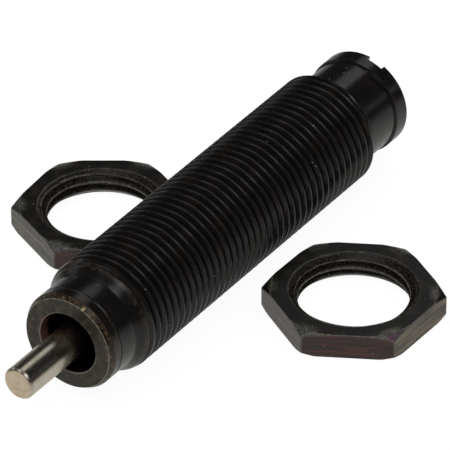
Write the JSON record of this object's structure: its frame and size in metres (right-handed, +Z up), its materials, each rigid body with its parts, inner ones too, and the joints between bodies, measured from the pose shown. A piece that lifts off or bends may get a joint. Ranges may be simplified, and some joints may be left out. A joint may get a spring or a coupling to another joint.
{
  "type": "industrial shock absorber",
  "caption": "Small self-contained hydraulic shock absorber: fully threaded black steel body, polished return rod, ring stop face, slotted rear plug and loose thin hexagon jam nuts.",
  "frame": {"origin": "centre of the stop face, on the axis of the rod", "axes": "+X runs along the rod from the stop face to the rear plug, so the rod points to -X; +Z is up with the absorber lying on its side, and +Y completes the right-handed frame"},
  "size_m": [0.0945, 0.071, 0.019],
  "materials": {
    "blackened_steel": "black oxide, satin, fine turned thread",
    "stop_ring_steel": "black oxide worn to warm grey on the face",
    "nut_steel": "oiled black oxide with rust-brown and olive tints",
    "polished_steel": "ground and polished hard rod",
    "bare_steel": "turned steel",
    "bronze": "bearing bronze",
    "black_rubber": "nitrile rubber",
    "closed_cell_foam": "closed-cell foam"
  },
  "bodies": {
    "housing": {"outer_body": "blackened_steel", "stop_ring": "stop_ring_steel", "wiper_seal": "black_rubber", "rod_guide": "bare_steel", "rod_seal": "black_rubber", "rod_bush": "bronze", "guide_o_ring": "black_rubber", "return_spring": "bare_steel", "accumulator_foam": "closed_cell_foam", "tube_head": "bare_steel", "pressure_tube": "bare_steel", "rear_plug": "blackened_steel", "plug_o_ring": "black_rubber", "fill_ball": "bare_steel"},
    "rod": {"piston_rod": "polished_steel", "rod_snap_ring": "bare_steel", "spring_seat": "bare_steel", "piston_head": "bare_steel", "piston_nut": "bare_steel"},
    "check_ring": {"check_ring": "bronze"},
    "jam_nut_right": {"jam_nut_right": "nut_steel"},
    "jam_nut_left": {"jam_nut_left": "nut_steel"}
  },
  "joints": [
    {"name": "rod_slide", "type": "slide", "parent": "housing", "child": "rod", "axis": [1, 0, 0], "range_m": [0, 0.0127], "stiffness_N_per_m": 420, "springref_m": -0.0107, "deforming": ["return_spring"]},
    {"name": "check_ring_float", "type": "slide", "parent": "rod", "child": "check_ring", "axis": [1, 0, 0], "range_m": [-0.00028, 0.00028]},
    {"name": "nut_right_lift", "type": "slide", "parent": "housing", "child": "jam_nut_right", "axis": [0, 0, 1], "range_m": [0, 0.03]},
    {"name": "nut_left_lift", "type": "slide", "parent": "housing", "child": "jam_nut_left", "axis": [0, 0.5, 0.866], "range_m": [0, 0.03]}
  ]
}
